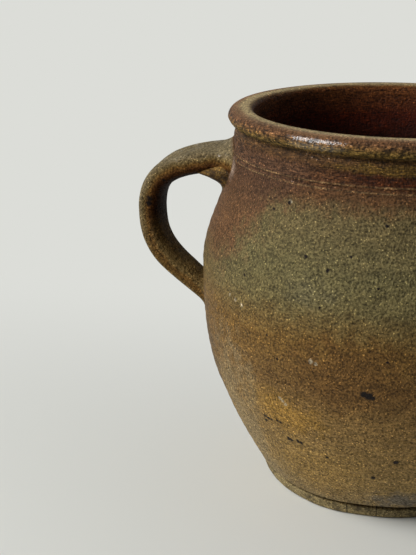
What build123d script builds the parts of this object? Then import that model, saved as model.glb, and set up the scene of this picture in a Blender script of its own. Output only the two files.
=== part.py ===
from build123d import *
import math
import os

# A stoneware pot with two strap handles, as a potter joins it: a wall thrown on a floor slab,
# a handle on each side, and wads of clay pressed into the corners at each handle's two ends.
# Millimetres, +Z up, origin at the centre of the underside, handles along X.

# Floor slab, with its side's angle in degrees from upright
foot_radius = 74.2
foot_edge_round = 3.0
slab_thickness = 7.5
slab_angle = 15.0
seam_bevel = 0.9

# Wall, outside, with angles in degrees from upright
pot_height = 228.5
flank_angle = 26.3
belly_radius = 114.5
belly_height = 135.0
collar_radius = 95.0
collar_height = 17.0
collar_lean = 8.3
rim_height = 10.5
rim_overhang = 5.0
lip_outer_round = 5.0
lip_inner_round = 3.5

# Wall, thickness
foot_wall = 10.0
belly_wall = 8.0
neck_wall = 10.0

# How far the wall's curves keep to their end directions, as shares of their height
flank_pull = 0.455
belly_pull = 0.51
shoulder_pull = 0.37
neck_pull = 0.42

# Tooled line round the collar
line_rise = 2.0
line_round = 2.0
line_depth = 0.6

# Strap handles: places, section, and how far the centre line keeps to its end directions
strap_drop = 22.2
strap_top_width = 46.0
strap_tail_width = 26.0
strap_top_thickness = 13.0
strap_tail_thickness = 8.5
finger_gap = 29.2
tail_drop = 22.5
tail_angle = 46.0
bow_share = 0.61
root_pull = 0.93
bow_upper_pull = 0.42
bow_lower_pull = 0.49
tail_pull = 0.79
root_rise = 2.0
root_flare_width = 6.0
root_flare_thickness = 7.0
root_flare_length = 8.0
root_depth = 1.5
strap_sections = 10

# Wads of clay at the strap's ends, each narrower than the strap by its inset. A taper over 1
# hollows the lump, and one under 1 fills it.
upper_wad_inset = 3.0
upper_wad_height = 12.0
upper_wad_reach = 22.0
upper_wad_taper = 0.8
lower_wad_inset = 3.0
lower_wad_height = 14.0
lower_wad_reach = 6.0
lower_wad_taper = 1.3
wad_end_share = 0.6
wad_edge = 0.8
wad_overlap = 2.0
wad_sections = 5

flank_tan = math.tan(math.radians(flank_angle))
seam_radius = foot_radius + slab_thickness * math.tan(math.radians(slab_angle))
collar_top = pot_height - rim_height
collar_base = collar_top - collar_height
collar_tan = math.tan(math.radians(collar_lean))
throat_radius = collar_radius - neck_wall
rim_radius = collar_radius + rim_overhang


def bezier(points, t):
    """The point at t, from 0 to 1, of the curve with four control points."""
    weights = ((1 - t) ** 3, 3 * t * (1 - t) ** 2, 3 * t * t * (1 - t), t**3)
    return tuple(sum(w * p[i] for w, p in zip(weights, points)) for i in range(2))


def direction(points, t):
    """The unit direction of that curve at t."""
    weights = ((1 - t) ** 2, 2 * t * (1 - t), t * t)
    steps = [(b[0] - a[0], b[1] - a[1]) for a, b in zip(points, points[1:])]
    along = [sum(w * s[i] for w, s in zip(weights, steps)) for i in range(2)]
    length = math.hypot(*along)
    return along[0] / length, along[1] / length


def wall_curves(low_radius, wide_radius, high_radius, high_tan):
    """Control points, as (radius, height), of one face's flank and shoulder."""
    flank_span = belly_height - slab_thickness
    shoulder_span = collar_base - belly_height
    flank_rise = flank_pull * flank_span
    neck_rise = neck_pull * shoulder_span
    flank = [
        (low_radius, slab_thickness),
        (low_radius + flank_rise * flank_tan, slab_thickness + flank_rise),
        (wide_radius, belly_height - belly_pull * flank_span),
        (wide_radius, belly_height),
    ]
    shoulder = [
        (wide_radius, belly_height),
        (wide_radius, belly_height + shoulder_pull * shoulder_span),
        (high_radius + neck_rise * high_tan, collar_base - neck_rise),
        (high_radius, collar_base),
    ]
    return flank, shoulder


outer_flank, outer_shoulder = wall_curves(
    seam_radius, belly_radius, collar_radius + collar_height * collar_tan, collar_tan
)
inner_flank, inner_shoulder = wall_curves(
    seam_radius - foot_wall, belly_radius - belly_wall, throat_radius, 0
)


def wall_radius(height):
    """The wall's outer radius at a height between the seam and the collar's top."""
    if height > collar_base:
        return collar_radius + (collar_top - height) * collar_tan
    curve = outer_flank if height < belly_height else outer_shoulder
    low, high = 0.0, 1.0
    for _ in range(40):
        middle = (low + high) / 2
        if bezier(curve, middle)[1] < height:
            low = middle
        else:
            high = middle
    return bezier(curve, low)[0]


def at(radius, height):
    """A point of a turned outline, drawn at the back so that the seam is clear of the handles."""
    return Vector(0, radius, height)


def curve_edge(points):
    return Bezier(*[at(*point) for point in points])


def outer_edges():
    """The outside from the seam up to the outer edge of the lip's flat top."""
    bead_middle = pot_height - lip_outer_round
    lip_edge = rim_radius - lip_outer_round
    return [
        curve_edge(outer_flank),
        curve_edge(outer_shoulder),
        Line(at(*outer_shoulder[-1]), at(collar_radius, collar_top)),
        TangentArc(
            at(rim_radius, bead_middle),
            at(collar_radius, collar_top),
            tangent=(0, 0, -1),
        ),
        TangentArc(
            at(rim_radius, bead_middle), at(lip_edge, pot_height), tangent=(0, 0, 1)
        ),
    ]


def inner_edges():
    """The inside from the lip's flat top down the throat and belly to the floor."""
    lip_edge = throat_radius + lip_inner_round
    throat_top = pot_height - lip_inner_round
    return [
        TangentArc(
            at(throat_radius, throat_top), at(lip_edge, pot_height), tangent=(0, 0, 1)
        ),
        Line(at(throat_radius, throat_top), at(throat_radius, collar_base)),
        curve_edge(inner_shoulder),
        curve_edge(inner_flank),
    ]


def turned(edges):
    return revolve(make_face(edges), axis=Axis.Z)


def make_pot_wall():
    lip_top = Line(
        at(rim_radius - lip_outer_round, pot_height),
        at(throat_radius + lip_inner_round, pot_height),
    )
    seat = Line(
        at(seam_radius - foot_wall, slab_thickness), at(seam_radius, slab_thickness)
    )
    wall = turned([*outer_edges(), lip_top, *inner_edges(), seat])
    lowest_rings = wall.edges().filter_by(GeomType.CIRCLE).group_by(Axis.Z)[0]
    wall = chamfer(lowest_rings.sort_by(SortBy.RADIUS)[-1], seam_bevel)
    line_height = collar_base + line_rise
    line_middle = wall_radius(line_height) + line_round - line_depth
    return wall - Pos(0, 0, line_height) * Rot(0, 0, 90) * Torus(line_middle, line_round)


def make_base_slab():
    slab = turned([
        Line(at(0, 0), at(foot_radius, 0)),
        Line(at(foot_radius, 0), at(seam_radius, slab_thickness)),
        Line(at(seam_radius, slab_thickness), at(0, slab_thickness)),
        Line(at(0, slab_thickness), at(0, 0)),
    ])
    rings = slab.edges().filter_by(GeomType.CIRCLE).sort_by(Axis.Z)
    slab = fillet(rings[0], foot_edge_round)
    rings = slab.edges().filter_by(GeomType.CIRCLE).sort_by(Axis.Z)
    return chamfer(rings[-1], seam_bevel)


def make_envelope():
    """The pot's outside as one full solid, which cuts what is joined onto it."""
    return turned([
        *outer_edges(),
        Line(at(rim_radius - lip_outer_round, pot_height), at(0, pot_height)),
        Line(at(0, pot_height), at(0, slab_thickness)),
        Line(at(0, slab_thickness), at(seam_radius, slab_thickness)),
    ])


# Centre line of the right strap, from inside the collar round to inside the belly
strap_height = collar_top - strap_drop
tail_height = belly_height - tail_drop
bow_height = tail_height + bow_share * (strap_height - tail_height)
bow_reach = belly_radius + finger_gap + (strap_top_thickness + strap_tail_thickness) / 4
root_half_width = (strap_top_width + root_flare_width) / 2
root_reach = math.sqrt(collar_radius**2 - root_half_width**2) - root_depth
tail_slope = math.tan(math.radians(tail_angle))
tail_depth = strap_tail_thickness + root_depth
tail_reach = wall_radius(tail_height) - tail_depth
tail_end = tail_height - tail_depth * tail_slope
tail_run = tail_pull * (bow_reach - tail_reach) * math.cos(math.radians(tail_angle))
upper_bow = [
    (root_reach, strap_height),
    (root_reach + root_pull * (bow_reach - root_reach), strap_height),
    (bow_reach, bow_height + bow_upper_pull * (strap_height - bow_height)),
    (bow_reach, bow_height),
]
lower_bow = [
    (bow_reach, bow_height),
    (bow_reach, bow_height - bow_lower_pull * (bow_height - tail_end)),
    (tail_reach + tail_run, tail_end + tail_run * tail_slope),
    (tail_reach, tail_end),
]


def strap_section(curve, t):
    """The strap's rounded section at t along one of its two curves."""
    x, z = bezier(curve, t)
    dx, dz = direction(curve, t)
    gap = max(0, x - wall_radius(strap_height))
    flare = max(0, 1 - gap / root_flare_length) ** 2 if curve is upper_bow else 0
    share = (t if curve is upper_bow else 1 + t) / 2
    width = strap_top_width + share * (strap_tail_width - strap_top_width)
    thickness = strap_top_thickness + share * (strap_tail_thickness - strap_top_thickness)
    across = Plane(origin=(x, 0, z + flare * root_rise), x_dir=(0, 1, 0), z_dir=(dx, 0, dz))
    return across * SlotOverall(
        width + flare * root_flare_width, thickness + flare * root_flare_thickness
    )


def make_strap():
    """The strap, with its sections closer together towards the flared root."""
    steps = [i / strap_sections for i in range(strap_sections + 1)]
    sections = [strap_section(upper_bow, step**2) for step in steps]
    sections += [strap_section(lower_bow, step) for step in steps[1:]]
    return loft(sections) - envelope


def make_wad(top, height, width, reach, taper):
    """A lump on the wall that thins out downwards, cut by the wall and the strap."""
    sections = []
    for i in range(wad_sections + 1):
        share = i / wad_sections
        z = top - share * height
        depth = wad_edge + (reach - wad_edge) * (1 - share) ** taper
        spread = width * (1 - share * (1 - wad_end_share))
        sections.append(Pos(wall_radius(z), 0, z) * Ellipse(depth, spread / 2))
    return loft(sections) - envelope - strap


envelope = make_envelope()
strap = make_strap()
upper_wad_top = strap_height - strap_top_thickness / 2 + wad_overlap
upper_wad_width = strap_top_width - upper_wad_inset
upper_wad = make_wad(
    upper_wad_top, upper_wad_height, upper_wad_width, upper_wad_reach, upper_wad_taper
)
lower_wad_width = strap_tail_width - lower_wad_inset
lower_wad = make_wad(
    tail_height, lower_wad_height, lower_wad_width, lower_wad_reach, lower_wad_taper
)

pieces = {"base_slab": make_base_slab(), "pot_wall": make_pot_wall()}
for name, right in (("handle", strap), ("upper_wad", upper_wad), ("lower_wad", lower_wad)):
    pieces["right_" + name] = right
    pieces["left_" + name] = mirror(right, about=Plane.YZ)

os.makedirs("parts", exist_ok=True)
for name, piece in pieces.items():
    export_step(piece, f"parts/{name}.step")
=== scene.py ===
import math

import bpy
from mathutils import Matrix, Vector


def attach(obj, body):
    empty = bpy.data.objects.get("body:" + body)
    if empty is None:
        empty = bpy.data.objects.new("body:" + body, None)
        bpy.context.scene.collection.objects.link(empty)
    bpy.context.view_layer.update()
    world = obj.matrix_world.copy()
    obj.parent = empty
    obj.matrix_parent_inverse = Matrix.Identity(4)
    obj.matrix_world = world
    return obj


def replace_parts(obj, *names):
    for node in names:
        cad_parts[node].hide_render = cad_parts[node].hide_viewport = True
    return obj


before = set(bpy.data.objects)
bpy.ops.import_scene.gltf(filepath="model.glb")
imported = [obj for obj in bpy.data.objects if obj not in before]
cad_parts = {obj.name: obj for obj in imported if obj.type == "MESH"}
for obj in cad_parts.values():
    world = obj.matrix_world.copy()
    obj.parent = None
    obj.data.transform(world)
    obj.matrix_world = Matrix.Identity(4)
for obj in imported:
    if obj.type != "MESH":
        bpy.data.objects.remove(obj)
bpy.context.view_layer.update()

# A wood-fired stoneware pot: a thrown wall on a floor slab, two pulled strap handles, and wads
# of clay pressed in at the handles' ends. Sizes are in millimetres and angles in degrees, unless
# a comment says otherwise, and meshes are in metres. A turn is an angle round the pot: 0 faces
# the camera, and the left handle is at -90.
mm = 0.001
scene = bpy.context.scene

# Thrown wall
foot_radius = 74.2
slab_thickness = 7.5
slab_angle = 15.0
pot_height = 228.5
flank_angle = 26.3
belly_radius = 114.5
belly_height = 135.0
collar_radius = 95.0
collar_height = 17.0
collar_lean = 8.3
rim_height = 10.5
rim_overhang = 5.0
lip_outer_round = 5.0
lip_inner_round = 3.5
foot_wall = 10.0
belly_wall = 8.0
neck_wall = 10.0

# How far the wall's curves keep to their end directions, as shares of their height
flank_pull = 0.455
belly_pull = 0.51
shoulder_pull = 0.37
neck_pull = 0.42

# Relief on the collar: height, half width, and how far it stands out
collar_relief = [
    (201.5, 0.55, 0.2), (204.4, 0.55, 0.2), (203.0, 0.8, -0.35), (213.4, 2.4, 0.7),
    (218.0, 1.0, -0.4),
]

# Where the slab has come away: the turns it lies between, how it fades, and how far in it starts
loose_turns = (-28, 75)
loose_fades = (24, 40)
loose_radius = 62
loose_edge = 12
lifted_height = 30

# Strap handles: places, section at both ends, and how far the curves keep to their directions
strap_height = 195.8
tail_height = 112.5
tail_angle = 46.0
tail_depth = 9.0
bow_height = 162.4
bow_reach = 147.5
root_reach = 89.9
strap_widths = (43.0, 24.0)
strap_thicknesses = (15.5, 11.0)
root_pull = 0.94
bow_upper_pull = 0.45
bow_lower_pull = 0.52
tail_pull = 0.79

# Lumps at the straps' ends, going down: heights with depths, and heights with widths
upper_depths = [
    (197.0, 3.0), (195.0, 9.0), (192.0, 16.0), (189.0, 21.5), (187.5, 15.0), (184.8, 7.0),
    (182.5, 3.2), (180.5, 1.3), (178.5, 0.3),
]
upper_widths = [
    (197.0, 34.0), (195.0, 45.0), (191.0, 49.0), (185.0, 46.0), (181.0, 37.0), (178.5, 26.0),
]
lower_depths = [(113.0, 6.0), (109.5, 4.4), (104.0, 2.0), (98.5, 0.8)]
lower_widths = [(113.0, 28.0), (105.0, 24.0), (98.5, 16.0)]

# Smeared clay: its rise along the wall as a share of its reach, and the deepest that a piece goes
smear_share = 0.3
sunk_depth = 5.0

flank_tan = math.tan(math.radians(flank_angle))
collar_tan = math.tan(math.radians(collar_lean))
tail_tan = math.tan(math.radians(tail_angle))
slab_tan = math.tan(math.radians(slab_angle))
seam_radius = foot_radius + slab_thickness * slab_tan
collar_top = pot_height - rim_height
collar_base = collar_top - collar_height
throat_radius = collar_radius - neck_wall


def bezier(points, t):
    """The point at t, from 0 to 1, of the curve with four control points."""
    weights = ((1 - t) ** 3, 3 * t * (1 - t) ** 2, 3 * t * t * (1 - t), t**3)
    return tuple(sum(w * p[i] for w, p in zip(weights, points)) for i in range(2))


def heading(points, t):
    """The unit direction of that curve at t."""
    weights = ((1 - t) ** 2, 2 * t * (1 - t), t * t)
    steps = [(b[0] - a[0], b[1] - a[1]) for a, b in zip(points, points[1:])]
    along = [sum(w * s[i] for w, s in zip(weights, steps)) for i in range(2)]
    return along[0] / math.hypot(*along), along[1] / math.hypot(*along)


def thrown_curves(low, wide, high, high_tan):
    """Control points, as (radius, height), of the flank and the shoulder of one face."""
    flank_span = belly_height - slab_thickness
    neck_span = collar_base - belly_height
    flank_rise = flank_pull * flank_span
    neck_rise = neck_pull * neck_span
    flank = [
        (low, slab_thickness),
        (low + flank_rise * flank_tan, slab_thickness + flank_rise),
        (wide, belly_height - belly_pull * flank_span),
        (wide, belly_height),
    ]
    shoulder = [
        (wide, belly_height),
        (wide, belly_height + shoulder_pull * neck_span),
        (high + neck_rise * high_tan, collar_base - neck_rise),
        (high, collar_base),
    ]
    return flank, shoulder


outer_flank, outer_shoulder = thrown_curves(
    seam_radius, belly_radius, collar_radius + collar_height * collar_tan, collar_tan
)
inner_flank, inner_shoulder = thrown_curves(
    seam_radius - foot_wall, belly_radius - belly_wall, throat_radius, 0
)


def wall_radius(height):
    """The wall's outer radius between the seam and the rim."""
    if height > collar_base:
        return collar_radius + (collar_top - height) * collar_tan
    curve = outer_flank if height < belly_height else outer_shoulder
    low, high = 0.0, 1.0
    for _ in range(40):
        middle = (low + high) / 2
        low, high = (middle, high) if bezier(curve, middle)[1] < height else (low, middle)
    return bezier(curve, low)[0]


def on_wall(turn, height):
    """A point of the wall's outside, in metres."""
    angle = math.radians(turn)
    radius = wall_radius(height)
    return mm * Vector((radius * math.sin(angle), -radius * math.cos(angle), height))


def linear(hex_colour):
    """An sRGB hex colour as a linear one with alpha."""
    parts = [int(hex_colour[i : i + 2], 16) / 255 for i in (1, 3, 5)]
    parts = [p / 12.92 if p <= 0.04045 else ((p + 0.055) / 1.055) ** 2.4 for p in parts]
    return (*parts, 1.0)


def add(tree, kind, inputs=(), stops=(), **settings):
    """Add a node with its settings, and give each input a value, a node or a socket to link."""
    node = tree.nodes.new(kind)
    for name, value in settings.items():
        setattr(node, name, value)
    for place, (position, hex_colour) in enumerate(stops):
        elements = node.color_ramp.elements
        stop = elements[place] if place < 2 else elements.new(position)
        stop.position = position
        stop.color = linear(hex_colour)
    for key, value in dict(inputs).items():
        if isinstance(value, bpy.types.Node):
            value = next(out for out in value.outputs if out.enabled)
        if isinstance(value, bpy.types.NodeSocket):
            tree.links.new(value, node.inputs[key])
        else:
            node.inputs[key].default_value = value
    return node


def calc(tree, operation, *values, clamped=False):
    """Add a Math node, with its values or links in order."""
    return add(tree, "ShaderNodeMath", enumerate(values), operation=operation, use_clamp=clamped)


def eased(tree, value, start, end, low=0.0, high=1.0):
    """Go smoothly from low to high while a value goes from start to end."""
    return add(
        tree, "ShaderNodeMapRange", {0: value, 1: start, 2: end, 3: low, 4: high},
        interpolation_type="SMOOTHSTEP",
    )


def mixed(tree, share, colour, other, blend="MIX"):
    """Lay a share of another colour over a colour, or multiply it in."""
    return add(
        tree, "ShaderNodeMix", {0: share, 6: colour, 7: other}, data_type="RGBA", blend_type=blend
    ).outputs[2]


# Shapes that the node trees make


def new_tree(name, sockets):
    """A tree that makes clay from a line, with named inputs."""
    tree = bpy.data.node_groups.new(name, "GeometryNodeTree")
    tree.interface.new_socket("Line", in_out="INPUT", socket_type="NodeSocketGeometry")
    for label, kind in sockets:
        tree.interface.new_socket(label, in_out="INPUT", socket_type="NodeSocket" + kind)
    tree.interface.new_socket("Clay", in_out="OUTPUT", socket_type="NodeSocketGeometry")
    return tree, add(tree, "NodeGroupInput").outputs


def laid_out(tree, columns):
    """Each grid point's row, and its place along that row."""
    index = add(tree, "GeometryNodeInputIndex")
    middle = calc(tree, "ADD", index, 0.5)
    row = calc(tree, "DIVIDE", middle, columns)
    row = calc(tree, "FLOOR", row)
    before = calc(tree, "MULTIPLY", row, columns)
    return row, calc(tree, "SUBTRACT", index, before)


def from_line(tree, given, row, name="", kind="FLOAT_VECTOR"):
    """A mark of the line's point in this row, or that point's place."""
    if name:
        value = add(tree, "GeometryNodeInputNamedAttribute", {"Name": name}, data_type=kind)
    else:
        value = add(tree, "GeometryNodeInputPosition")
    return add(
        tree, "GeometryNodeSampleIndex", {0: given["Line"], "Value": value, "Index": row},
        data_type=kind,
    )


def dented(tree, given, place):
    """How far shallow dents sink the clay at a place."""
    fineness = calc(tree, "DIVIDE", 1.0, given["Dent size"])
    dents = add(tree, "ShaderNodeTexNoise", {"Vector": place, "Scale": fineness, "Detail": 2.0})
    dents = calc(tree, "SUBTRACT", dents, 0.5)
    return calc(tree, "MULTIPLY", dents, given["Dent depth"])


def fired(tree, given, clay):
    """End a tree: close the clay's seam, smooth it and give it its glaze."""
    clay = add(tree, "GeometryNodeMergeByDistance", {"Geometry": clay, "Distance": 0.001 * mm})
    clay = add(tree, "GeometryNodeSetShadeSmooth", {"Geometry": clay})
    clay = add(tree, "GeometryNodeRealizeInstances", {"Geometry": clay})
    clay = add(tree, "GeometryNodeSetMaterial", {"Geometry": clay, "Material": given["Glaze"]})
    add(tree, "NodeGroupOutput", {0: clay})
    return tree


def turned_clay():
    """Turns a line of (radius, height) points round the pot's axis, as a wheel does."""
    tree, given = new_tree("turned_clay", [
        ("Spokes", "Int"), ("Closed", "Int"),
        ("Ring spacing", "Float"), ("Ring depth", "Float"),
        ("Dent size", "Float"), ("Dent depth", "Float"), ("Glaze", "Material"),
    ])
    count = add(tree, "GeometryNodeAttributeDomainSize", {0: given["Line"]}, component="MESH")
    rows = calc(tree, "ADD", count.outputs["Point Count"], given["Closed"])
    columns = calc(tree, "ADD", given["Spokes"], 1.0)
    sheet = add(tree, "GeometryNodeMeshGrid", {"Vertices X": rows, "Vertices Y": columns})
    row, spoke = laid_out(tree, columns)
    row = calc(tree, "MODULO", row, count.outputs["Point Count"])
    place = add(tree, "ShaderNodeSeparateXYZ", {0: from_line(tree, given, row)}).outputs
    full_turn = calc(tree, "MULTIPLY", spoke, math.tau)
    angle = calc(tree, "DIVIDE", full_turn, given["Spokes"])
    sine = calc(tree, "SINE", angle)
    cosine = calc(tree, "COSINE", angle)
    spin = add(tree, "ShaderNodeCombineXYZ", {0: cosine, 1: sine})
    flat = add(tree, "ShaderNodeVectorMath", {0: spin, "Scale": place["X"]}, operation="SCALE")
    rise = add(tree, "ShaderNodeCombineXYZ", {2: place["Z"]})
    still = add(tree, "ShaderNodeVectorMath", {0: flat, 1: rise})

    # The fingers leave a rising spiral that wavers every 55 mm or so, and drying leaves dents.
    steps = calc(tree, "DIVIDE", place["Z"], given["Ring spacing"])
    waver = add(tree, "ShaderNodeTexNoise", {"Vector": still, "Scale": 18.0, "Detail": 1.0})
    phase = calc(tree, "MULTIPLY_ADD", steps, math.tau, angle)
    phase = calc(tree, "MULTIPLY_ADD", waver, 9.0, phase)
    rings = calc(tree, "SINE", phase)
    rings = calc(tree, "MULTIPLY_ADD", rings, 0.5, 0.5)
    rings = calc(tree, "MULTIPLY", rings, given["Ring depth"])
    sunk = calc(tree, "ADD", dented(tree, given, still), rings)
    soft = from_line(tree, given, row, "soft", "FLOAT")
    sunk = calc(tree, "MULTIPLY", sunk, soft)
    shift = add(tree, "ShaderNodeVectorMath", {0: spin, "Scale": sunk}, operation="SCALE")
    thrown = add(tree, "ShaderNodeVectorMath", {0: still, 1: shift}, operation="SUBTRACT")

    clay = add(tree, "GeometryNodeSetPosition", {"Geometry": sheet, "Position": thrown})
    clay = add(tree, "GeometryNodeFlipFaces", {"Mesh": clay})
    inside = from_line(tree, given, row, "inside", "FLOAT")
    clay = add(
        tree, "GeometryNodeStoreNamedAttribute",
        {"Geometry": clay, "Name": "inside", "Value": inside}, domain="POINT",
    )
    return fired(tree, given, clay)


def pulled_clay():
    """Draws a rounded section, of changing width and thickness, along a line of points."""
    tree, given = new_tree("pulled_clay", [
        ("Around", "Int"), ("Squareness", "Float"), ("Inner squareness", "Float"),
        ("Dent size", "Float"), ("Dent depth", "Float"), ("Glaze", "Material"),
    ])
    count = add(tree, "GeometryNodeAttributeDomainSize", {0: given["Line"]}, component="MESH")
    columns = calc(tree, "ADD", given["Around"], 1.0)
    sheet = add(
        tree, "GeometryNodeMeshGrid",
        {"Vertices X": count.outputs["Point Count"], "Vertices Y": columns},
    )
    row, spoke = laid_out(tree, columns)
    spoke = calc(tree, "MODULO", spoke, given["Around"])
    full_turn = calc(tree, "MULTIPLY", spoke, math.tau)
    angle = calc(tree, "DIVIDE", full_turn, given["Around"])
    sine = calc(tree, "SINE", angle)
    inner = calc(tree, "LESS_THAN", sine, 0.0)
    squareness = add(
        tree, "ShaderNodeMix", {0: inner, 2: given["Squareness"], 3: given["Inner squareness"]}
    )
    power = calc(tree, "DIVIDE", 2.0, squareness)
    spread = []
    for wave, name in (("COSINE", "wide"), ("SINE", "thick")):
        share = calc(tree, wave, angle)
        size = calc(tree, "ABSOLUTE", share)
        size = calc(tree, "POWER", size, power)
        share = calc(tree, "SIGN", share)
        share = calc(tree, "MULTIPLY", share, size)
        reach = add(
            tree, "ShaderNodeVectorMath",
            {0: from_line(tree, given, row, name), "Scale": share}, operation="SCALE",
        )
        spread.append((share, reach))
    (_, sideways), (outward, upward) = spread
    offset = add(tree, "ShaderNodeVectorMath", {0: sideways, 1: upward})
    place = add(tree, "ShaderNodeVectorMath", {0: from_line(tree, given, row), 1: offset})
    sunk = dented(tree, given, place)
    away = add(tree, "ShaderNodeVectorMath", {0: offset}, operation="NORMALIZE")
    shift = add(tree, "ShaderNodeVectorMath", {0: away, "Scale": sunk}, operation="SCALE")
    pulled = add(tree, "ShaderNodeVectorMath", {0: place, 1: shift}, operation="SUBTRACT")
    clay = add(tree, "GeometryNodeSetPosition", {"Geometry": sheet, "Position": pulled})
    clay = add(
        tree, "GeometryNodeStoreNamedAttribute",
        {"Geometry": clay, "Name": "outward", "Value": outward}, domain="POINT",
    )
    return fired(tree, given, clay)


def shaped(name, tree, points, marks, sizes):
    """Run a tree on a line of points that carry marks, and keep the plain mesh."""
    line = bpy.data.meshes.new(name + "_line")
    line.from_pydata(points, [(i, i + 1) for i in range(len(points) - 1)], [])
    for label, values in marks.items():
        vector = isinstance(values[0], (tuple, Vector))
        kind = "FLOAT_VECTOR" if vector else "FLOAT"
        data = line.attributes.new(label, kind, "POINT").data
        flat = [part for value in values for part in value] if vector else values
        data.foreach_set("vector" if vector else "value", flat)
    holder = bpy.data.objects.new(name + "_holder", line)
    scene.collection.objects.link(holder)
    modifier = holder.modifiers.new(name, "NODES")
    modifier.node_group = tree
    for socket in tree.interface.items_tree:
        if socket.name in sizes:
            modifier[socket.identifier] = sizes[socket.name]
    graph = bpy.context.evaluated_depsgraph_get()
    mesh = bpy.data.meshes.new_from_object(holder.evaluated_get(graph), depsgraph=graph)
    bpy.data.objects.remove(holder)
    mesh.name = name
    piece = bpy.data.objects.new(name, mesh)
    scene.collection.objects.link(piece)
    return piece


def stepped(curve, step):
    """Points along a curve of control points, about a step apart."""
    rough = [bezier(curve, i / 40) for i in range(41)]
    length = sum(math.dist(a, b) for a, b in zip(rough, rough[1:]))
    count = max(2, round(length / step))
    return [bezier(curve, i / count) for i in range(count)]


def arc(centre, radius, start, end, count):
    """Points on part of a circle, from one angle to before the other."""
    angles = [math.radians(start + (end - start) * i / count) for i in range(count)]
    return [(centre[0] + radius * math.cos(a), centre[1] + radius * math.sin(a)) for a in angles]


def collar_profile():
    """The collar from just below its base to the rim: two raised lines and a soft band."""
    points = []
    start, end, rows = collar_base - 3.0, collar_top + 0.4, 45
    for i in range(rows + 1):
        height = start + (end - start) * i / rows
        relief = sum(
            out * math.exp(-(((height - middle) / half) ** 2))
            for middle, half, out in collar_relief
        )
        points.append((wall_radius(height) + relief, height))
    return points


def wall_profile():
    """The wall's line, with how soft it was to the fingers and how far inside it is."""
    outside = [(seam_radius - 2.2, 7.6), (seam_radius - 1.5, 7.9), (seam_radius - 0.3, 8.9)]
    for radius, height in stepped(outer_flank, 1.7):
        if height > 9.5:
            fullness = 1.2 * math.sin(math.pi * min(1.0, (height - slab_thickness) / 50))
            outside.append((radius + fullness, height))
    outside += [point for point in stepped(outer_shoulder, 1.5) if point[1] < collar_base - 3.2]
    # The collar, the rim's underside, its bead and its flat top
    rim = collar_profile()
    rim += [(95.3, 218.9), (96.7, 219.3), (98.0, 220.2), (98.9, 221.3), (99.5, 222.4)]
    bead_radius = collar_radius + rim_overhang - lip_outer_round
    rim += arc((bead_radius, pot_height - lip_outer_round), lip_outer_round, 0, 90, 12)
    rim += [(bead_radius - 1.6 * i, pot_height) for i in range(4)]
    throat_top = pot_height - lip_inner_round
    lip = arc((throat_radius + lip_inner_round, throat_top), lip_inner_round, 90, 180, 9)
    throat = [(throat_radius, throat_top - 2.4 * i) for i in range(10)]
    inside = stepped(inner_shoulder[::-1], 3.4) + stepped(inner_flank[::-1], 3.6)
    inside += [(seam_radius - foot_wall, slab_thickness)]
    line = outside + rim + lip + throat + inside
    softness = [1.0] * len(outside) + [0.35] * len(rim + lip) + [0.6] * len(throat + inside)
    softness[-1] = 0.0
    depth = [0.0] * len(outside + rim) + [i / 5 if i < 5 else 1.0 for i in range(len(lip))]
    depth += [1.0] * len(throat + inside)
    return line, softness, depth


def capped(points, wides, thicks):
    """A line and its sections, with both ends closed to a point."""
    none = Vector((0, 0, 0))
    points = [points[0], *points, points[-1]]
    return points, [none, *wides, none], [none, *thicks, none]


def strap_line(side, lean):
    """The strap's middle line and section from inside the collar round to inside the belly."""
    tail_reach = wall_radius(tail_height) - tail_depth
    tail_end = tail_height - tail_depth * tail_tan
    tail_run = tail_pull * (bow_reach - tail_reach) * math.cos(math.radians(tail_angle))
    upper = [
        (root_reach, strap_height),
        (root_reach + root_pull * (bow_reach - root_reach), strap_height),
        (bow_reach, bow_height + bow_upper_pull * (strap_height - bow_height)),
        (bow_reach, bow_height),
    ]
    lower = [
        (bow_reach, bow_height),
        (bow_reach, bow_height - bow_lower_pull * (bow_height - tail_end)),
        (tail_reach + tail_run, tail_end + tail_run * tail_tan),
        (tail_reach, tail_end),
    ]
    # Rows of points, closer together towards the two ends, where the clay is smeared
    places = []
    for curve, start, end, count in (
        (upper, 0, 0.13, 56), (upper, 0.13, 1, 60), (lower, 0, 0.8, 56), (lower, 0.8, 1, 40),
    ):
        places += [(curve, start + (end - start) * i / count) for i in range(count)]
    places.append((lower, 1.0))
    points, wides, thicks = [], [], []
    for curve, t in places:
        x, z = bezier(curve, t)
        dx, dz = heading(curve, t)
        share = (t if curve is upper else 1 + t) / 2
        width = strap_widths[0] + share * (strap_widths[1] - strap_widths[0])
        thickness = strap_thicknesses[0] + share * (strap_thicknesses[1] - strap_thicknesses[0])
        twist = math.radians(lean) * math.sin(math.pi * share)
        facing = Vector((-dz * side, 0, dx))
        across = Vector((0, -side, 0))
        outer = facing * math.cos(twist) + across * math.sin(twist)
        along = across * math.cos(twist) - facing * math.sin(twist)
        points.append(mm * Vector((x * side, 0, z)))
        wides.append(mm * along * width / 2)
        thicks.append(mm * outer * thickness / 2)
    return capped(points, wides, thicks)


def between(stops, height):
    """The value at a height, between stops that go downwards."""
    for (high, first), (low, last) in zip(stops, stops[1:]):
        if height >= low:
            share = (high - height) / (high - low)
            return first + (last - first) * share
    return stops[-1][1]


def wad_line(side, depths, widths):
    """A lump laid on the wall, from its stops of depth and width by height."""
    points, wides, thicks = [], [], []
    top, bottom = depths[0][0], depths[-1][0]
    rows = 28
    for i in range(rows + 1):
        z = top + (bottom - top) * i / rows
        points.append(mm * Vector((wall_radius(z) * side, 0, z)))
        wides.append(mm * Vector((0, -side * between(widths, z) / 2, 0)))
        thicks.append(mm * Vector((between(depths, z) * side, 0, 0)))
    return capped(points, wides, thicks)


def wrapped(piece):
    """Bend a lump that was laid out flat round the wall."""
    for vertex in piece.data.vertices:
        x, y, z = vertex.co / mm
        radius = wall_radius(z)
        inward = radius - math.sqrt(radius * radius - y * y)
        vertex.co.x -= math.copysign(inward * mm, x)
    return piece


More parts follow.
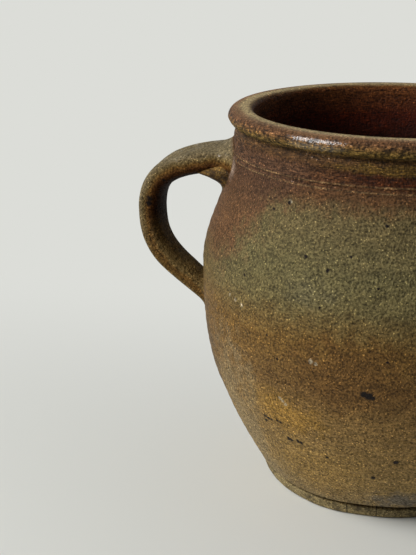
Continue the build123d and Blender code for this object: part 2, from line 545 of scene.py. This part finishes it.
def smeared(piece, high_reach, low_reach):
    """Spread a piece's clay along the wall where it comes near, as a thumb does, and keep it
    from showing inside the pot."""
    lifts = []
    for vertex in piece.data.vertices:
        x, y, z = vertex.co / mm
        reach = high_reach if z > belly_height else low_reach
        gap = math.hypot(x, y) - wall_radius(max(slab_thickness, min(collar_top, z)))
        near = max(0.0, min(1.0, 1 - gap / reach))
        out = Vector((x, y, 0)).normalized()
        along = vertex.normal - vertex.normal.dot(out) * out
        rise = smear_share * (near * near + 1 - math.sqrt(1 - near * near))
        lifts.append(mm * reach * rise * along)
    for vertex, lift in zip(piece.data.vertices, lifts):
        vertex.co += lift
        x, y, z = vertex.co / mm
        deepest = wall_radius(max(slab_thickness, min(collar_top, z))) - sunk_depth
        scale = max(1.0, deepest / math.hypot(x, y))
        vertex.co = mm * Vector((x * scale, y * scale, z))
    return piece


def loosened(turn):
    """How far the slab has come away under the wall at a turn, from 0 to 1 at the front."""
    start, end = loose_turns
    share = max(0.0, min(1.0, (turn - start) / loose_fades[0], (end - turn) / loose_fades[1]))
    return share * share * (3 - 2 * share)


def parted(piece, lift, inset):
    """Lift a piece's low outer edge and draw it in where the slab has come away."""
    for vertex in piece.data.vertices:
        x, y, z = vertex.co / mm
        radius = math.hypot(x, y)
        if z > slab_thickness + lifted_height or radius < loose_radius:
            continue
        amount = loosened(math.degrees(math.atan2(x, -y)))
        edge = min(1.0, (radius - loose_radius) / loose_edge)
        near = min(1.0, 1 - (z - slab_thickness) / lifted_height)
        scale = 1 - inset * amount * edge / radius
        vertex.co = mm * Vector((x * scale, y * scale, z + lift * amount * edge * near * near))
    return piece


# Materials


def new_material(name):
    material = bpy.data.materials.new(name)
    material.use_nodes = True
    material.node_tree.nodes.clear()
    return material, material.node_tree


def turn_round(tree, axes):
    """The turn round the pot, in radians."""
    front = calc(tree, "MULTIPLY", axes["Y"], -1.0)
    return calc(tree, "ARCTAN2", axes["X"], front)


def distance_out(tree, axes):
    """The distance from the pot's axis."""
    flat = add(tree, "ShaderNodeCombineXYZ", {0: axes["X"], 1: axes["Y"]})
    return add(tree, "ShaderNodeVectorMath", {0: flat}, operation="LENGTH").outputs["Value"]


def upright_marks(tree, turn, places, outer, inner, strength=1.0):
    """One mask for upright marks at turns round the pot, with half widths in radians."""
    mask = 0.0
    for place in places:
        gap = calc(tree, "SUBTRACT", turn, math.radians(place))
        gap = calc(tree, "ABSOLUTE", gap)
        mark = add(tree, "ShaderNodeMapRange", {0: gap, 1: outer, 2: inner, 4: strength})
        mask = calc(tree, "MAXIMUM", mark, mask)
    return mask


def fired_skin(tree):
    """What every fired surface here shows: drifting patches, mottling, grain, streaks and specks
    of iron and ash."""
    place = add(tree, "ShaderNodeTexCoord").outputs["Object"]
    skin = {"place": place, "axes": add(tree, "ShaderNodeSeparateXYZ", {0: place}).outputs}
    low = add(tree, "ShaderNodeVectorMath", {0: place, 1: (1.0, 1.0, 5.0)}, operation="MULTIPLY")
    for name, where, size, detail, roughness in (
        ("drift", place, 40, 4.0, 0.6), ("mottle", place, 7, 4.0, 0.7),
        ("grain", place, 1.3, 2.0, 0.6), ("streaks", low, 14, 3.0, 0.6),
    ):
        skin[name] = add(
            tree, "ShaderNodeTexNoise",
            {"Vector": where, "Scale": 1 / (size * mm), "Detail": detail, "Roughness": roughness},
        )
    skin["drift"] = calc(tree, "SUBTRACT", skin["drift"], 0.5)
    for name, spacing in (("iron", 2.3), ("ash", 1.9)):
        cells = add(tree, "ShaderNodeTexVoronoi", {"Vector": place, "Scale": 1 / (spacing * mm)})
        skin[name] = eased(tree, cells.outputs["Distance"], 0.24, 0.10)
    return skin


def finished(tree, skin, colour, roughness, gloss, dips=None, glass=0.0):
    """Lay mottling, grain, specks and the bumpy skin over a colour, and end the material."""
    for name, dark, pale in (
        ("streaks", 0.78, 1.2), ("mottle", 0.78, 1.2), ("grain", 0.36, 1.78),
    ):
        shade = add(tree, "ShaderNodeMapRange", {0: skin[name], 1: 0.3, 2: 0.7, 3: dark, 4: pale})
        colour = mixed(tree, 1.0, colour, shade, "MULTIPLY")
    for name, change in (("ash", (2.9, 2.85, 2.7, 1)), ("iron", (0.62, 0.58, 0.54, 1))):
        colour = mixed(tree, skin[name], colour, change, "MULTIPLY")
    if dips:
        colour = mixed(tree, dips, colour, linear("#1d1613"))
    height = calc(tree, "MULTIPLY_ADD", skin["mottle"], 0.7, skin["grain"])
    # The glassy patches lie smoother than the orange peel under them.
    peel, glassy = [
        add(tree, "ShaderNodeBump", {"Strength": 1.0, "Distance": depth * mm, "Height": height})
        for depth in (1.4, 0.35)
    ]
    shine = calc(tree, "MULTIPLY_ADD", skin["grain"], -0.25, roughness)
    shader = add(tree, "ShaderNodeBsdfPrincipled", {
        "Base Color": colour, "Roughness": shine, "IOR": 1.5, "Specular IOR Level": gloss,
        "Coat Weight": glass, "Coat Roughness": 0.06, "Coat IOR": 1.6,
        "Normal": peel, "Coat Normal": glassy,
    })
    add(tree, "ShaderNodeOutputMaterial", {"Surface": shader})


# Patches that the flame left on the wall, and one of painted shade at the far left: turn, height,
# half sizes, colour and strength
flame_and_shade_patches = [
    (-30, 73, 13, 15, "#a07a38", 0.8),
    (-25, 38, 23, 20, "#9c7c44", 0.7),
    (-53, 45, 15, 58, "#94805c", 0.75),
    (-78, 76, 16, 52, "#65523a", 0.8),
    # Painted shade: this patch darkens the wall's far left edge
    (-8, 104, 22, 20, "#644521", 0.6),
    (9, 17, 13, 9, "#6d675d", 0.8),
    (4, 209, 20, 5, "#3a1803", 0.9),
    (4, 213.6, 24, 3, "#5e471b", 0.8),
    (-22, 150, 9, 9, "#6e6648", 0.6),
    (-72.5, 196, 4, 6, "#9a8676", 0.7),
    (40, 60, 20, 30, "#8f7038", 0.6),
    (75, 80, 22, 55, "#8a6b4a", 0.7),
    (118, 45, 26, 26, "#94743c", 0.6),
    (150, 110, 30, 30, "#6a4a26", 0.6),
    (-115, 100, 24, 45, "#80603a", 0.6),
    (-150, 60, 28, 26, "#95763e", 0.6),
    (178, 165, 26, 22, "#70684a", 0.6),
]
# Pits burnt out of the clay: turn, height and width
burnt_pits = [
    (-5.2, 97.6, 5.0), (-3.9, 96.6, 5.5), (-2.7, 96.0, 3.4), (-38.4, 65.4, 3.0),
    (-37.2, 64.9, 3.4), (-36.0, 64.6, 2.6), (-33.4, 66.0, 2.8), (-32.2, 65.4, 2.8),
    (-30.8, 54.8, 3.0), (-29.6, 54.5, 2.6), (-27.0, 55.2, 2.8), (-25.8, 54.8, 2.8),
    (-17, 49, 2.6), (-39, 62, 2.4), (5, 52.5, 4.0),
    (-2, 38.5, 4.0), (-27, 38, 2.2), (-24, 167, 2.4), (-17, 162, 2.4), (-3, 156, 2.0),
    (-18, 143, 2.0), (-30.5, 108, 2.2), (-2, 186, 2.0), (-11, 170, 2.0), (-44, 149, 2.0),
    (-33.5, 191, 2.6), (-39, 186, 2.2), (0.5, 117.5, 2.0), (-34, 120, 2.0), (-82, 203, 3.0),
    (38, 92, 3.2), (61, 140, 2.6), (98, 60, 3.0), (141, 120, 4.0), (-128, 84, 3.2),
    (-160, 150, 2.6), (172, 48, 3.4), (-66.5, 202.2, 3.0),
]
# Pits in the straps' edges: distance out, distance from the middle, height and width
strap_pits = [
    (146, 16.5, 172, 5.2), (146.8, 16.4, 169, 4.4), (130, 14.5, 131, 3.0), (137, 18, 184, 3.0),
]
# Pale chips and salt spots: turn, height and width
pale_chips = [
    (-30.4, 83.4, 2.4), (-29.6, 82.2, 2.2), (-28.6, 80.6, 2.2), (-20, 112, 3.0),
    (-18.6, 111.2, 2.2), (-47, 133, 2.6), (-44, 131.6, 2.4), (-50, 134, 2.2), (-33, 192, 2.4),
    (70, 118, 2.6), (132, 70, 2.6), (-140, 128, 2.4),
]


def spots(tree, place, marks):
    """One mask for a list of small marks, each a place and a width."""
    mask = 0.0
    for middle, width in marks:
        gap = add(
            tree, "ShaderNodeVectorMath", {0: place, 1: middle}, operation="DISTANCE"
        ).outputs["Value"]
        spot = add(tree, "ShaderNodeMapRange", {0: gap, 1: width * 0.55 * mm, 2: width * 0.3 * mm})
        mask = calc(tree, "MAXIMUM", spot, mask)
    return mask


def ragged_place(tree, place):
    """Object coordinates shaken by a fine noise, for marks with ragged edges."""
    shake = add(
        tree, "ShaderNodeTexNoise", {"Vector": place, "Scale": 1 / (2.2 * mm), "Detail": 2.0}
    ).outputs["Color"]
    shake = add(tree, "ShaderNodeVectorMath", {0: shake, 1: (0.5, 0.5, 0.5)}, operation="SUBTRACT")
    return add(
        tree, "ShaderNodeVectorMath", {0: shake, 1: (2 * mm, 2 * mm, 2 * mm), 2: place},
        operation="MULTIPLY_ADD",
    )


def ash_glazed_stoneware():
    """Wood-fired stoneware under a thin ash glaze: flame-coloured bands and an orange-peel skin."""
    material, tree = new_material("ash_glazed_stoneware")
    skin = fired_skin(tree)
    axes, drift = skin["axes"], skin["drift"]
    turn = turn_round(tree, axes)

    # Bands by height, which wander a little round the pot and mingle at their edges
    wander = add(
        tree, "ShaderNodeMapRange",
        {0: axes["Z"], 1: 190 * mm, 2: 205 * mm, 3: 14 * mm, 4: 2 * mm},
    )
    mingled = calc(tree, "SUBTRACT", skin["mottle"], 0.5)
    mingled = calc(tree, "MULTIPLY_ADD", mingled, 1.6, drift)
    level = calc(tree, "MULTIPLY_ADD", mingled, wander, axes["Z"])
    share = calc(tree, "DIVIDE", level, pot_height * mm)
    bands = add(tree, "ShaderNodeValToRGB", {0: share}, stops=[
        (0.02, "#8e7954"), (0.12, "#927849"), (0.30, "#8b6e40"), (0.41, "#735730"),
        (0.53, "#725529"), (0.63, "#6b5f3b"), (0.70, "#665d3b"), (0.82, "#695b3a"),
        (0.86, "#5f4227"), (0.90, "#4d2f18"), (0.92, "#462a14"), (0.936, "#4b3217"),
        (0.948, "#503820"), (0.953, "#493216"), (0.960, "#55401b"), (0.970, "#6b5529"),
        (0.984, "#614425"), (0.996, "#5f402a"),
    ])

    # Redder clay beside the handles, with an edge that slants by 8 radians a metre
    blush = add(
        tree, "ShaderNodeValToRGB", {0: share}, stops=[(0.76, "#63462c"), (0.86, "#523825")]
    )
    wide_turn = calc(tree, "ABSOLUTE", turn)
    slant = calc(tree, "MULTIPLY_ADD", axes["Z"], 8.0, wide_turn)
    slant = calc(tree, "MULTIPLY_ADD", mingled, 0.35, slant)
    flush = eased(tree, slant, 2.02, 2.32)
    for low, high in ((0.57, 0.72), (0.944, 0.92)):
        fade = eased(tree, share, low, high)
        flush = calc(tree, "MULTIPLY", flush, fade)
    colour = mixed(tree, flush, bands, blush)

    # Each patch, of flame colour or of painted shade, is laid over the colour
    for centre, height, half_turn, half_height, hex_colour, strength in flame_and_shade_patches:
        aside = calc(tree, "SUBTRACT", turn, math.radians(centre))
        aside = calc(tree, "WRAP", aside, math.pi, -math.pi)
        rise = calc(tree, "SUBTRACT", axes["Z"], height * mm)
        spread = add(tree, "ShaderNodeCombineXYZ", {0: aside, 1: rise})
        spread = add(
            tree, "ShaderNodeVectorMath",
            {0: spread, 1: (math.radians(half_turn), half_height * mm, 1)}, operation="DIVIDE",
        )
        reach = add(tree, "ShaderNodeVectorMath", {0: spread}, operation="LENGTH").outputs["Value"]
        reach = calc(tree, "MULTIPLY_ADD", mingled, 1.4, reach)
        patch = eased(tree, reach, 1.25, 0.35, high=strength)
        colour = mixed(tree, patch, colour, linear(hex_colour))

    # Two fine pale scratches round the collar, and ash along the lip's inner half
    ring = calc(tree, "MULTIPLY_ADD", drift, 1.5 * mm, axes["Z"])
    for height in (201.4, 204.4):
        gap = calc(tree, "SUBTRACT", ring, height * mm)
        gap = calc(tree, "ABSOLUTE", gap)
        scratch = add(tree, "ShaderNodeMapRange", {0: gap, 1: 0.6 * mm, 2: 0.2 * mm, 4: 0.7})
        broken = add(tree, "ShaderNodeMapRange", {0: skin["mottle"], 1: 0.3, 2: 0.65})
        scratch = calc(tree, "MULTIPLY", scratch, broken)
        colour = mixed(tree, scratch, colour, linear("#8a6f4a"))
    across = calc(tree, "MULTIPLY_ADD", drift, 4 * mm, distance_out(tree, axes))
    lip = add(tree, "ShaderNodeValToRGB", {
        0: add(tree, "ShaderNodeMapRange", {0: across, 1: 85 * mm, 2: 100 * mm}),
    }, stops=[
        (0.05, "#5c3a18"), (0.20, "#9c8760"), (0.42, "#a8946b"), (0.62, "#866748"),
        (0.85, "#63442a"),
    ])
    top = eased(tree, axes["Z"], 226.2 * mm, 227.8 * mm)

    # The inside is a dark brown slip, with painted shade that darkens it to near black down the
    # belly
    inside = add(tree, "ShaderNodeAttribute", attribute_name="inside").outputs["Fac"]
    slip_and_shade = add(tree, "ShaderNodeValToRGB", {0: share}, stops=[
        (0.80, "#0b0301"), (0.915, "#451604"), (0.985, "#63391a"),
    ])
    colour = mixed(tree, inside, colour, slip_and_shade)
    colour = mixed(tree, top, colour, lip)

    # Turning lines, which show on the collar, the rim and the inside
    low = add(
        tree, "ShaderNodeVectorMath", {0: skin["place"], 1: (1.0, 1.0, 8.0)}, operation="MULTIPLY"
    )
    lines = add(
        tree, "ShaderNodeTexNoise",
        {"Vector": low, "Scale": 1 / (5 * mm), "Detail": 3.0, "Roughness": 0.65},
    )
    lines = add(tree, "ShaderNodeMapRange", {0: lines, 1: 0.34, 2: 0.66, 3: 0.28, 4: 1.75})
    upper = add(tree, "ShaderNodeMapRange", {0: share, 1: 0.85, 2: 0.9})
    upper = calc(tree, "SUBTRACT", upper, top, clamped=True)
    colour = mixed(tree, upper, colour, lines, "MULTIPLY")

    # Blistered ash round the rim's face
    blisters = add(
        tree, "ShaderNodeTexNoise",
        {"Vector": skin["place"], "Scale": 1 / (2.4 * mm), "Detail": 2.0},
    )
    blisters = add(tree, "ShaderNodeMapRange", {0: blisters, 1: 0.35, 2: 0.65, 3: 0.3, 4: 1.75})
    face = add(tree, "ShaderNodeMapRange", {0: share, 1: 0.952, 2: 0.966})
    for away in (top, inside):
        face = calc(tree, "SUBTRACT", face, away, clamped=True)
    colour = mixed(tree, face, colour, blisters, "MULTIPLY")

    # Chips and pits, and molten ash that runs glassy on the rim and sparkles on the collar
    ragged = ragged_place(tree, skin["place"])
    chips = spots(tree, ragged, [(on_wall(t, z), width) for t, z, width in pale_chips])
    chips = calc(tree, "MULTIPLY", chips, 0.7)
    colour = mixed(tree, chips, colour, linear("#b3a68c"))
    pits = spots(tree, ragged, [(on_wall(t, z), width) for t, z, width in burnt_pits])
    pooled = add(tree, "ShaderNodeMapRange", {0: skin["mottle"], 1: 0.28, 2: 0.5})
    runs = upright_marks(tree, turn, (-25, 48, 121, -158, -101), outer=0.19, inner=0.11)
    glass = calc(tree, "MULTIPLY", face, pooled)
    glass = calc(tree, "MULTIPLY", glass, runs)
    sparkle = calc(tree, "MULTIPLY", skin["ash"], upper)
    sparkle = calc(tree, "MULTIPLY", sparkle, 0.5)
    glass = calc(tree, "MAXIMUM", glass, sparkle)
    finished(tree, skin, colour, roughness=0.75, gloss=0.16, dips=pits, glass=glass)
    return material


def ash_dusted_strap():
    """Stoneware strap under the same ash: pale where ash settled on its back, brown beneath, and
    near black on the inner face of its upper part, which is partly painted shade.
    """
    material, tree = new_material("ash_dusted_strap")
    skin = fired_skin(tree)
    axes = skin["axes"]
    outward = add(tree, "ShaderNodeAttribute", attribute_name="outward").outputs["Fac"]
    ash = calc(tree, "MULTIPLY_ADD", skin["mottle"], 0.5, outward)
    ash = calc(tree, "MULTIPLY_ADD", skin["drift"], 1.2, ash)
    ash = add(tree, "ShaderNodeMapRange", {0: ash, 1: -0.5, 2: 1.0})
    # Ash colour by how far a face looks out; on the upper part the darkest stops, on the inner
    # face, are partly painted shade
    upper_ash_and_shade = add(tree, "ShaderNodeValToRGB", {0: ash}, stops=[
        (0.0, "#241003"), (0.33, "#492c12"), (0.53, "#664922"), (0.73, "#6f5d3a"),
        (0.9, "#706146"), (1.0, "#73664b"),
    ])
    below = add(tree, "ShaderNodeValToRGB", {0: ash}, stops=[
        (0.0, "#6e5a36"), (0.33, "#705c38"), (0.53, "#6c4f28"), (0.73, "#664b26"),
        (0.9, "#6a522c"), (1.0, "#735d38"),
    ])
    high = eased(tree, axes["Z"], 135 * mm, 165 * mm)
    colour = mixed(tree, high, below, upper_ash_and_shade)

    # The root runs into the collar's red brown
    root = eased(tree, distance_out(tree, axes), 99.5 * mm, 95.5 * mm)
    root = calc(tree, "MULTIPLY", root, high)
    colour = mixed(tree, root, colour, linear("#543724"))

    # A dark crease along the front of the bow, and glassy drops on its back
    crease = calc(tree, "MULTIPLY_ADD", skin["drift"], 1.4, outward)
    crease = calc(tree, "SUBTRACT", crease, 0.12)
    crease = calc(tree, "ABSOLUTE", crease)
    crease = add(tree, "ShaderNodeMapRange", {0: crease, 1: 0.09, 2: 0.02, 4: 0.5})
    for start, full in ((122, 134), (182, 170)):
        fade = add(tree, "ShaderNodeMapRange", {0: axes["Z"], 1: start * mm, 2: full * mm})
        crease = calc(tree, "MULTIPLY", crease, fade)
    pooled = add(tree, "ShaderNodeMapRange", {0: skin["mottle"], 1: 0.56, 2: 0.7, 4: 0.5})
    faces_out = add(tree, "ShaderNodeMapRange", {0: outward, 1: -0.1, 2: 0.5})
    glass = calc(tree, "MULTIPLY", pooled, faces_out)
    ragged = ragged_place(tree, skin["place"])
    ragged = add(tree, "ShaderNodeVectorMath", {0: ragged}, operation="ABSOLUTE")
    pits = spots(tree, ragged, [(mm * Vector(place), width) for *place, width in strap_pits])
    pits = calc(tree, "MAXIMUM", pits, crease)
    finished(tree, skin, colour, roughness=0.8, gloss=0.06, dips=pits, glass=glass)
    return material


def pooled_ash_wad():
    """Soft clay wads where molten ash ran together: yellow ochre with brown seams."""
    material, tree = new_material("pooled_ash_wad")
    skin = fired_skin(tree)
    colour = add(tree, "ShaderNodeValToRGB", {0: skin["mottle"]}, stops=[
        (0.34, "#2c1b0a"), (0.5, "#553c15"), (0.66, "#715627"),
    ])
    finished(tree, skin, colour, roughness=0.65, gloss=0.25)
    return material


def bare_foot():
    """Unglazed stoneware foot, sliced from the wheel: dry grey tan, darker in its cracks. The floor
    inside is covered by the wall's dark slip, darkened to near black by painted shade."""
    material, tree = new_material("bare_stoneware_foot")
    skin = fired_skin(tree)
    colour = add(tree, "ShaderNodeValToRGB", {0: skin["mottle"]}, stops=[
        (0.3, "#6e6045"), (0.5, "#8a7952"), (0.7, "#97865f"),
    ])
    turn = calc(tree, "MULTIPLY_ADD", skin["mottle"], 0.02, turn_round(tree, skin["axes"]))
    # Painted shade: darker from the front towards the right, away from the window light
    painted_shade = eased(tree, turn, -0.2, 0.3, low=1.0, high=0.62)
    colour = mixed(tree, 1.0, colour, painted_shade, "MULTIPLY")
    cracks = upright_marks(
        tree, turn, (-13, 0.5, 33, 64, 117, 171, -141, -88), outer=0.008, inner=0.002, strength=0.8
    )
    edge = add(
        tree, "ShaderNodeMapRange", {0: distance_out(tree, skin["axes"]), 1: 66 * mm, 2: 70 * mm}
    )
    cracks = calc(tree, "MULTIPLY", cracks, edge)
    # The floor inside: the wall's dark slip, darkened to near black by painted shade
    inside = add(tree, "ShaderNodeAttribute", attribute_name="inside").outputs["Fac"]
    colour = mixed(tree, inside, colour, linear("#140501"))
    finished(tree, skin, colour, roughness=0.9, gloss=0.25, dips=cracks)
    return material


def matt_paper():
    """Matt pale paper. Behind the pot it is an even tone to the camera, as if lit by itself."""
    material, tree = new_material("matt_paper")
    place = add(tree, "ShaderNodeTexCoord").outputs["Object"]
    depth = add(tree, "ShaderNodeSeparateXYZ", {0: place}).outputs["Y"]
    behind = eased(tree, depth, -0.1, 0.3)
    path = add(tree, "ShaderNodeLightPath").outputs
    seen = calc(tree, "MAXIMUM", path["Is Camera Ray"], path["Is Glossy Ray"])
    seen = calc(tree, "MAXIMUM", seen, path["Is Transmission Ray"])
    behind = calc(tree, "MULTIPLY", behind, seen)
    sheet = add(tree, "ShaderNodeBsdfPrincipled", {
        "Base Color": linear("#dfe0da"), "Roughness": 0.9,
    })
    glow = add(tree, "ShaderNodeEmission", {"Color": linear("#dcddd8")})
    shader = add(tree, "ShaderNodeMixShader", {0: behind, 1: sheet, 2: glow})
    add(tree, "ShaderNodeOutputMaterial", {"Surface": shader})
    return material


# Pieces
wheel = turned_clay()
pull = pulled_clay()
wall_glaze = ash_glazed_stoneware()
strap_glaze = ash_dusted_strap()
wad_glaze = pooled_ash_wad()

line, softness, depth = wall_profile()
wall = shaped(
    "thrown_wall", wheel, [(r * mm, 0, z * mm) for r, z in line],
    {"soft": softness, "inside": depth},
    {
        "Spokes": 320, "Closed": 1, "Ring spacing": 6.5 * mm, "Ring depth": 0.22 * mm,
        "Dent size": 26 * mm, "Dent depth": 0.8 * mm, "Glaze": wall_glaze,
    },
)
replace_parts(parted(wall, 1.7, 0.0), "pot_wall")

edge = arc((foot_radius - 2.6, 3.0), 3.0, -90, 10, 9)
line = [(0, 0), (20, 0), (45, 0), (62, 0)] + edge
line += [(foot_radius + slab_tan * z, z) for z in (3.9, 5.2, 6.3, 6.9)]
line += [(seam_radius - 0.9, 7.4), (seam_radius - 1.8, 7.5), (60, 7.5), (30, 7.5), (0, 7.5)]
slab = shaped(
    "floor_slab", wheel, [(r * mm, 0, z * mm) for r, z in line],
    {
        "soft": [0.0] * 4 + [1.0] * (len(line) - 9) + [0.0] * 5,
        "inside": [0.0] * (len(line) - 3) + [1.0] * 3,
    },
    {
        "Spokes": 320, "Closed": 0, "Ring spacing": 6.5 * mm, "Ring depth": 0.0,
        "Dent size": 9 * mm, "Dent depth": 0.8 * mm, "Glaze": bare_foot(),
    },
)
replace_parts(parted(slab, 0.0, 2.2), "base_slab")

pieces = [wall, slab]
for side, name, lean in ((-1, "left", 1.0), (1, "right", -2.0)):
    points, wides, thicks = strap_line(side, lean)
    strap = shaped(
        name + "_strap", pull, points, {"wide": wides, "thick": thicks},
        {
            "Around": 88, "Squareness": 5.0, "Inner squareness": 2.3, "Dent size": 16 * mm,
            "Dent depth": 1.0 * mm, "Glaze": strap_glaze,
        },
    )
    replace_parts(smeared(strap, 11.0, 4.0), name + "_handle")
    points, wides, thicks = wad_line(side, upper_depths, upper_widths)
    upper = shaped(
        name + "_upper_lump", pull, points, {"wide": wides, "thick": thicks},
        {
            "Around": 72, "Squareness": 3.4, "Inner squareness": 3.4, "Dent size": 8 * mm,
            "Dent depth": 1.0 * mm, "Glaze": wad_glaze,
        },
    )
    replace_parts(smeared(wrapped(upper), 1.0, 1.0), name + "_upper_wad")
    points, wides, thicks = wad_line(side, lower_depths, lower_widths)
    lower = shaped(
        name + "_lower_lump", pull, points, {"wide": wides, "thick": thicks},
        {
            "Around": 72, "Squareness": 2.3, "Inner squareness": 2.3, "Dent size": 7 * mm,
            "Dent depth": 1.0 * mm, "Glaze": wad_glaze,
        },
    )
    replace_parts(smeared(wrapped(lower), 2.0, 2.0), name + "_lower_wad")
    for piece in (strap, upper, lower):
        pieces.append(piece)
for piece in pieces:
    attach(piece, "root")

# Paper sweep, in metres: flat under the pot, then curved up behind it
sweep_line = [(-2.5, 0.0)] + arc((1.2, 0.8), 0.8, -90, 0, 15) + [(2.0, 0.8), (2.0, 3.5)]
verts = [(x, y, z) for y, z in sweep_line for x in (-4.0, 4.0)]
faces = [(2 * i, 2 * i + 1, 2 * i + 3, 2 * i + 2) for i in range(len(sweep_line) - 1)]
mesh = bpy.data.meshes.new("paper_sweep")
mesh.from_pydata(verts, [], faces)
mesh.shade_smooth()
mesh.materials.append(matt_paper())
floor = bpy.data.objects.new("paper_sweep", mesh)
scene.collection.objects.link(floor)

# Light, in metres and watts: one large soft window at the front left, and a weak even fill
aim = Vector((0, 0, 0.12))
turn, rise, distance = math.radians(-61), math.radians(40), 1.7
lamp = bpy.data.lights.new("window", "AREA")
lamp.shape = "RECTANGLE"
lamp.size = 0.85
lamp.size_y = 0.85
lamp.energy = 27.0
window = bpy.data.objects.new("window", lamp)
window.location = aim + distance * Vector((
    math.sin(turn) * math.cos(rise), -math.cos(turn) * math.cos(rise), math.sin(rise)
))
window.rotation_euler = (aim - window.location).to_track_quat("-Z", "Y").to_euler()
scene.collection.objects.link(window)

world = bpy.data.worlds.new("room")
world.use_nodes = True
world.node_tree.nodes.clear()
sky = add(world.node_tree, "ShaderNodeBackground", {"Color": linear("#f2f4f6"), "Strength": 0.16})
add(world.node_tree, "ShaderNodeOutputWorld", {"Surface": sky})
scene.world = world
scene.view_settings.view_transform = "Standard"

# Camera, placed in metres as the photograph was taken
yaw, pitch = math.radians(10.446), math.radians(19.19)
sight = Vector((
    -math.sin(yaw) * math.cos(pitch), math.cos(yaw) * math.cos(pitch), -math.sin(pitch)
))
lens = bpy.data.cameras.new("camera")
lens.sensor_width = 36.0
lens.lens = 68.11
camera = bpy.data.objects.new("camera", lens)
camera.location = (0, -0.6153, 0.3351)
camera.rotation_euler = sight.to_track_quat("-Z", "Y").to_euler()
scene.collection.objects.link(camera)
scene.camera = camera
